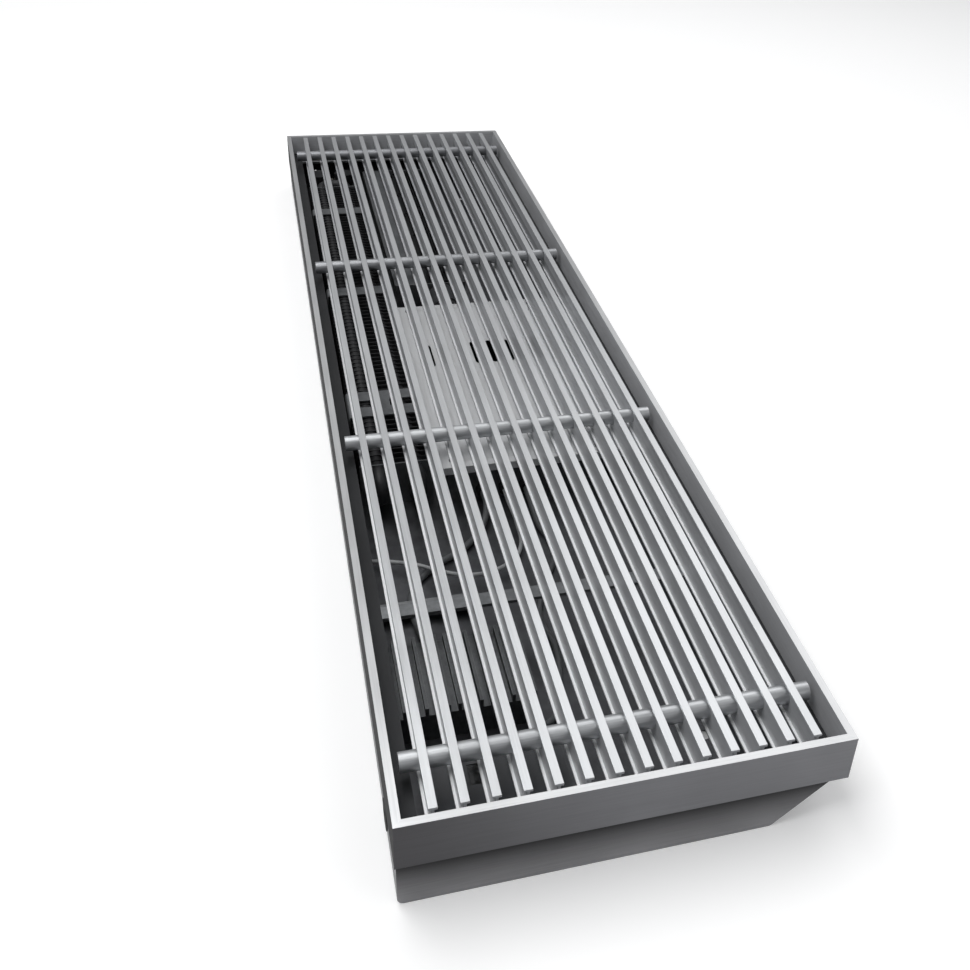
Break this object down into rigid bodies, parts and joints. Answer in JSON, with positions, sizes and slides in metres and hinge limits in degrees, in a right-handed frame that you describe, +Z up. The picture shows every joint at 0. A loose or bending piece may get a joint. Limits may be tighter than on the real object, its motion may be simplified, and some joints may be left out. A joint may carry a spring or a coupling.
{
  "type": "trench convector heater",
  "caption": "Long shallow floor trench heater: stainless frame and lift-off bar grille over a trough with a finned coil, a cross-flow blower, valves and a control box.",
  "frame": {"origin": "middle of the frame's plan, on the underside of the trough", "axes": "+X along the length from the near end to the far end with the water connections, +Y towards the coil side, +Z up"},
  "size_m": [1.2, 0.305, 0.074],
  "materials": {
    "frame_stainless": "brushed",
    "grille_stainless": "satin",
    "trough_stainless": "mill finish",
    "zinc_steel": "zinc plated",
    "cover_steel": "satin",
    "fin_aluminium": "dark coated",
    "supply_aluminium": "cast",
    "coil_paint": "dark lacquer",
    "nickel_brass": "satin nickel",
    "union_brass": "machined",
    "bearing_bronze": "sintered",
    "steel_shaft": "ground",
    "motor_can": "satin",
    "black_rubber": "moulded",
    "dark_plastic": "moulded",
    "grey_plastic": "moulded",
    "white_plastic": "moulded",
    "clear_plastic": "clear",
    "lead_grey": "extruded",
    "lead_light": "extruded",
    "board_green": "coated",
    "screw_steel": "turned"
  },
  "bodies": {
    "casing": {"trough": "trough_stainless", "near_end_plate": "trough_stainless", "far_end_plate": "trough_stainless", "frame_rail_left": "frame_stainless", "frame_rail_right": "frame_stainless", "frame_rail_near": "frame_stainless", "frame_rail_far": "frame_stainless", "ledge_angle_left": "zinc_steel", "ledge_angle_right": "zinc_steel", "ledge_angle_near": "zinc_steel", "ledge_angle_far": "zinc_steel", "cross_brace_near": "zinc_steel", "cross_brace_far": "zinc_steel", "cable_grommet": "black_rubber", "end_plate_rivets": "screw_steel", "coil_fins": "fin_aluminium", "coil_tubes": "coil_paint", "return_bends": "coil_paint", "coil_end_plates": "zinc_steel", "coil_straps": "zinc_steel", "slotted_strap": "zinc_steel", "union_nuts": "union_brass", "regulating_valve": "nickel_brass", "lockshield_valve": "nickel_brass", "lockshield_cap": "dark_plastic", "air_vent": "nickel_brass", "blower_guide": "zinc_steel", "blower_tongue": "zinc_steel", "motor_bracket": "zinc_steel", "blower_motor": "motor_can", "bearing_bracket": "zinc_steel", "bearing_rubber": "black_rubber", "bearing_bush": "bearing_bronze", "control_box": "zinc_steel", "cover_plate": "cover_steel", "circuit_board": "board_green", "transformer": "motor_can", "control_terminals": "grey_plastic", "terminal_box": "grey_plastic", "terminal_box_lid": "grey_plastic", "terminal_window": "clear_plastic", "mains_terminals": "white_plastic", "power_supply": "supply_aluminium", "strain_relief_bar": "zinc_steel", "lead_bushes": "black_rubber", "supply_lead": "lead_grey", "signal_lead": "lead_grey", "earth_lead": "lead_light", "fixing_screws": "screw_steel"},
    "grille": {"grille_bars": "grille_stainless", "tie_rods": "steel_shaft", "spacer_tubes": "grille_stainless", "end_spacers": "grille_stainless", "rod_end_nuts": "screw_steel"},
    "wheel": {"blower_wheel": "dark_plastic", "wheel_damper": "black_rubber", "wheel_shafts": "steel_shaft"},
    "valve_pin": {"valve_pin": "steel_shaft"},
    "valve_cap": {"valve_cap": "dark_plastic"},
    "vent_screw": {"vent_screw": "screw_steel"}
  },
  "joints": [
    {"name": "grille_lift", "type": "slide", "parent": "casing", "child": "grille", "axis": [0, 0, 1], "range_m": [0, 0.12]},
    {"name": "wheel_spin", "type": "hinge", "parent": "casing", "child": "wheel", "pos_m": [0.32, 0.0005, 0.0265], "axis": [1, 0, 0], "continuous": true},
    {"name": "valve_pin_slide", "type": "slide", "parent": "casing", "child": "valve_pin", "axis": [0, 0, -1], "range_m": [0, 0.003]},
    {"name": "valve_cap_turn", "type": "hinge", "parent": "valve_pin", "child": "valve_cap", "pos_m": [0.52, 0.1155, 0.0395], "axis": [0, 0, -1], "range_deg": [0, 720]},
    {"name": "vent_screw_turn", "type": "hinge", "parent": "casing", "child": "vent_screw", "pos_m": [0.51, 0.0985, 0.038], "axis": [1, 0, 0], "range_deg": [0, 360]}
  ],
  "couplings": [
    {"joint": "valve_pin_slide", "follows": "valve_cap_turn", "m_per_rad": 0.0002387}
  ]
}
